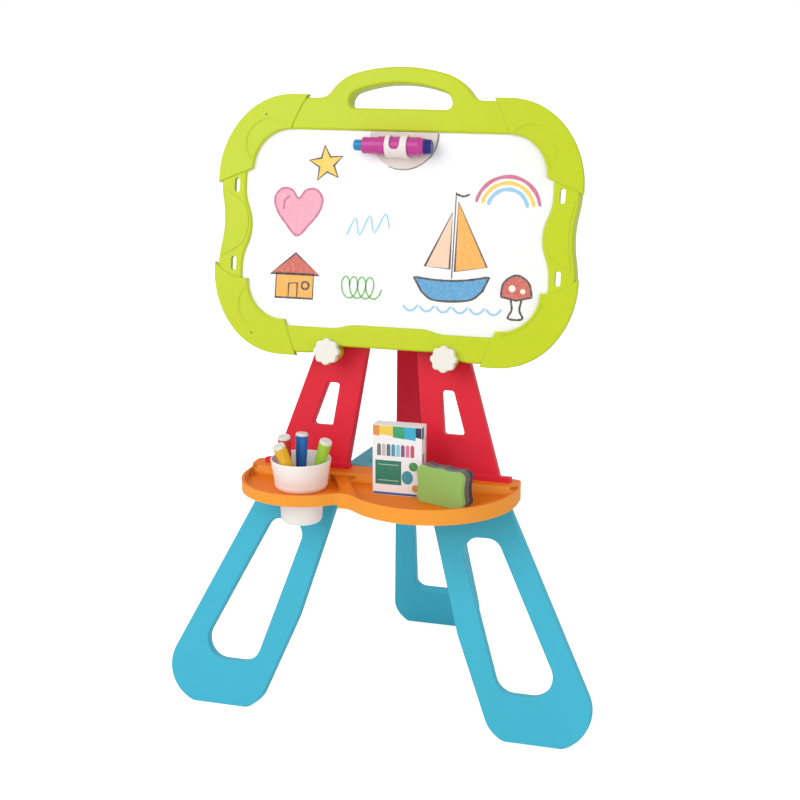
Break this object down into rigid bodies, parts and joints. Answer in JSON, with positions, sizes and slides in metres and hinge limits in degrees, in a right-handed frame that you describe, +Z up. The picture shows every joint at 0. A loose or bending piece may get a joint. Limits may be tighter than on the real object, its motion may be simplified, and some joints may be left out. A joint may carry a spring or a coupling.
{
  "type": "kids easel",
  "caption": "Children's drawing board with a carry handle on a flared stand with a folding rear leg, an accessory tray, a marker cup, a marker clip and an eraser.",
  "frame": {"origin": "centre of the bounding box at floor level", "axes": "+Z up, +X to the user's right, the user stands at -Y"},
  "size_m": [0.5816, 0.4243, 0.8504],
  "materials": {
    "lime_plastic": "glossy",
    "red_plastic": "satin",
    "blue_plastic": "satin",
    "orange_plastic": "glossy",
    "white_plastic": "glossy",
    "panel_white": "glossy",
    "steel": "brushed",
    "magenta_plastic": "glossy",
    "tip_blue": "glossy",
    "navy_plastic": "glossy",
    "yellow_plastic": "glossy",
    "marker_red": "glossy",
    "marker_blue": "glossy",
    "marker_green": "glossy",
    "plug_pale": "satin",
    "carton_card": "printed card",
    "eraser_green": "matt",
    "eraser_grey": "matt",
    "eraser_dark": "felt"
  },
  "bodies": {
    "stand": {"left_upright": "red_plastic", "right_upright": "red_plastic", "left_leg": "blue_plastic", "right_leg": "blue_plastic", "tray": "orange_plastic", "hinge_pin": "steel", "hinge_caps": "white_plastic", "knob_nuts": "steel", "stay_pin": "steel"},
    "rear_leg": {"rear_leg_upper": "red_plastic", "rear_leg_lower": "blue_plastic"},
    "stay_fork": {"stay": "blue_plastic"},
    "board": {"frame_front_shell": "lime_plastic", "frame_back_shell": "lime_plastic", "writing_panel": "panel_white", "marker_clip": "white_plastic", "frame_screws": "steel"},
    "left_thumb_screw": {"left_knob": "white_plastic"},
    "right_thumb_screw": {"right_knob": "white_plastic"},
    "clip_marker": {"clip_marker_barrel": "magenta_plastic", "clip_marker_plug": "navy_plastic"},
    "clip_marker_tip": {"clip_marker_cap": "tip_blue"},
    "cup": {"pen_cup": "white_plastic"},
    "yellow_pen": {"yellow_marker": "yellow_plastic", "yellow_marker_plug": "plug_pale"},
    "red_pen": {"red_marker": "marker_red", "red_marker_plug": "plug_pale"},
    "blue_pen": {"blue_marker": "marker_blue", "blue_marker_plug": "plug_pale"},
    "green_pen": {"green_marker": "marker_green", "green_marker_plug": "plug_pale"},
    "carton": {"crayon_carton": "carton_card"},
    "eraser": {"eraser_handle": "eraser_green", "eraser_foam": "eraser_grey", "eraser_felt": "eraser_dark"}
  },
  "joints": [
    {"name": "rear_leg_fold", "type": "hinge", "parent": "stand", "child": "rear_leg", "pos_m": [0, -0.01547, 0.64138], "axis": [-1, 0, 0], "range_deg": [0, 21.5]},
    {"name": "stay_swing", "type": "hinge", "parent": "stand", "child": "stay_fork", "pos_m": [0, -0.05765, 0.324], "axis": [1, 0, 0], "range_deg": [0, 78]},
    {"name": "board_lift_off", "type": "slide", "parent": "stand", "child": "board", "axis": [0, -0.9803, 0.1977], "range_m": [0, 0.025]},
    {"name": "left_knob_turn", "type": "hinge", "parent": "board", "child": "left_thumb_screw", "pos_m": [-0.079, -0.08619, 0.48795], "axis": [0, -0.9803, 0.1977], "continuous": true},
    {"name": "right_knob_turn", "type": "hinge", "parent": "board", "child": "right_thumb_screw", "pos_m": [0.079, -0.08619, 0.48795], "axis": [0, -0.9803, 0.1977], "continuous": true},
    {"name": "clip_marker_pull", "type": "slide", "parent": "board", "child": "clip_marker", "axis": [-1, 0, 0], "range_m": [0, 0.07]},
    {"name": "clip_marker_uncap", "type": "slide", "parent": "clip_marker", "child": "clip_marker_tip", "axis": [-1, 0, 0], "range_m": [0, 0.02]},
    {"name": "cup_lift", "type": "slide", "parent": "stand", "child": "cup", "axis": [0, 0, 1], "range_m": [0, 0.06]},
    {"name": "yellow_marker_pull", "type": "slide", "parent": "cup", "child": "yellow_pen", "axis": [-0.3103, -0.25, 0.9172], "range_m": [0, 0.09]},
    {"name": "red_marker_pull", "type": "slide", "parent": "cup", "child": "red_pen", "axis": [-0.0172, -0.1466, 0.9891], "range_m": [0, 0.09]},
    {"name": "blue_marker_pull", "type": "slide", "parent": "cup", "child": "blue_pen", "axis": [0.0259, 0.0776, 0.9967], "range_m": [0, 0.09]},
    {"name": "green_marker_pull", "type": "slide", "parent": "cup", "child": "green_pen", "axis": [0.3103, -0.1293, 0.9418], "range_m": [0, 0.09]},
    {"name": "carton_lift", "type": "slide", "parent": "stand", "child": "carton", "axis": [0, 0, 1], "range_m": [0, 0.05]},
    {"name": "eraser_lift", "type": "slide", "parent": "stand", "child": "eraser", "axis": [0, 0, 1], "range_m": [0, 0.05]}
  ]
}
